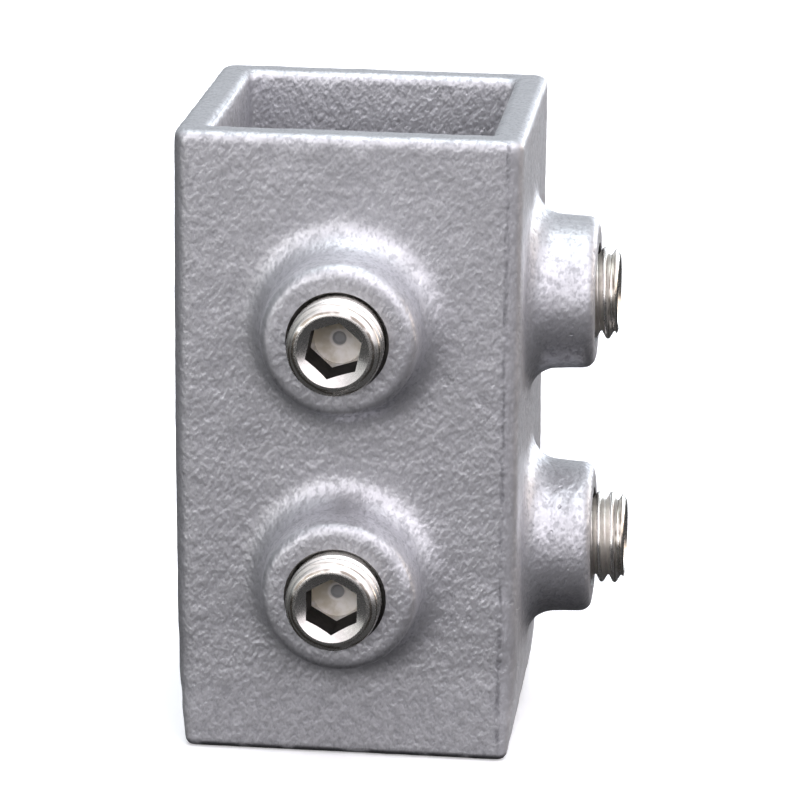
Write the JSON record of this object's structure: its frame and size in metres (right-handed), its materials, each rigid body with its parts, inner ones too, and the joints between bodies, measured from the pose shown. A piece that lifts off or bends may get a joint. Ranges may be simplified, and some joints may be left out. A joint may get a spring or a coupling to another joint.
{
  "type": "square tube clamp coupling",
  "caption": "Cast sleeve that joins two square tubes end to end, with screw bosses on two adjacent faces and hexagon-socket set screws that clamp the tubes.",
  "frame": {"origin": "on the tube's axis, in the plane of the sleeve's lower end", "axes": "+Z along the tube, the front bosses along -Y and the side bosses along +X"},
  "size_m": [0.0668, 0.0668, 0.096],
  "materials": {
    "galvanised_casting": "matte hot-dip galvanised casting",
    "stainless_steel": "bright turned stainless steel"
  },
  "bodies": {
    "sleeve": {"cast_sleeve": "galvanised_casting"},
    "front_upper_screw": {"front_upper_set_screw": "stainless_steel"},
    "front_lower_screw": {"front_lower_set_screw": "stainless_steel"},
    "side_upper_screw": {"side_upper_set_screw": "stainless_steel"},
    "side_lower_screw": {"side_lower_set_screw": "stainless_steel"}
  },
  "joints": [
    {"name": "front_upper_screw_travel", "type": "slide", "parent": "sleeve", "child": "front_upper_screw", "axis": [0, -1, 0], "range_m": [-0.006, 0.006]},
    {"name": "front_lower_screw_travel", "type": "slide", "parent": "sleeve", "child": "front_lower_screw", "axis": [0, -1, 0], "range_m": [-0.006, 0.006]},
    {"name": "side_upper_screw_travel", "type": "slide", "parent": "sleeve", "child": "side_upper_screw", "axis": [1, 0, 0], "range_m": [-0.004, 0.008]},
    {"name": "side_lower_screw_travel", "type": "slide", "parent": "sleeve", "child": "side_lower_screw", "axis": [1, 0, 0], "range_m": [-0.006, 0.006]}
  ]
}
